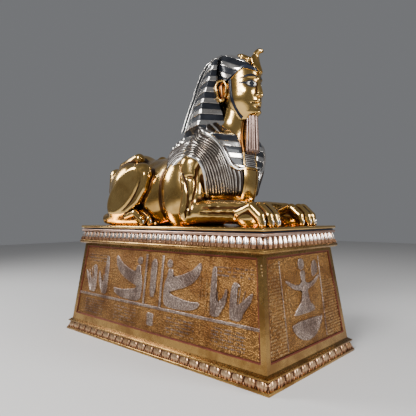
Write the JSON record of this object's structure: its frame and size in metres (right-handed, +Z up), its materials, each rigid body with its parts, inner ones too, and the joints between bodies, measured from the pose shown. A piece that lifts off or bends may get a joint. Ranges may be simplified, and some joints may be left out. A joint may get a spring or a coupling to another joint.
{
  "type": "sphinx statue on plinth",
  "caption": "Reclining sphinx with a striped headcloth, ribbed cape and false beard, on a thin slab over a battered plinth with leaf mouldings and carved panels.",
  "frame": {"origin": "centre of the plinth's underside, at floor level", "axes": "+Z up, the sphinx looks along -Y, its right side faces -X"},
  "size_m": [0.72, 1.422, 1.4558],
  "materials": {
    "sphinx": "polished antique gilding with silvered and black parts",
    "plinth": "aged granulated gilding with silvered relief"
  },
  "bodies": {
    "root": {"sphinx": "sphinx", "plinth": "plinth"}
  },
  "joints": []
}
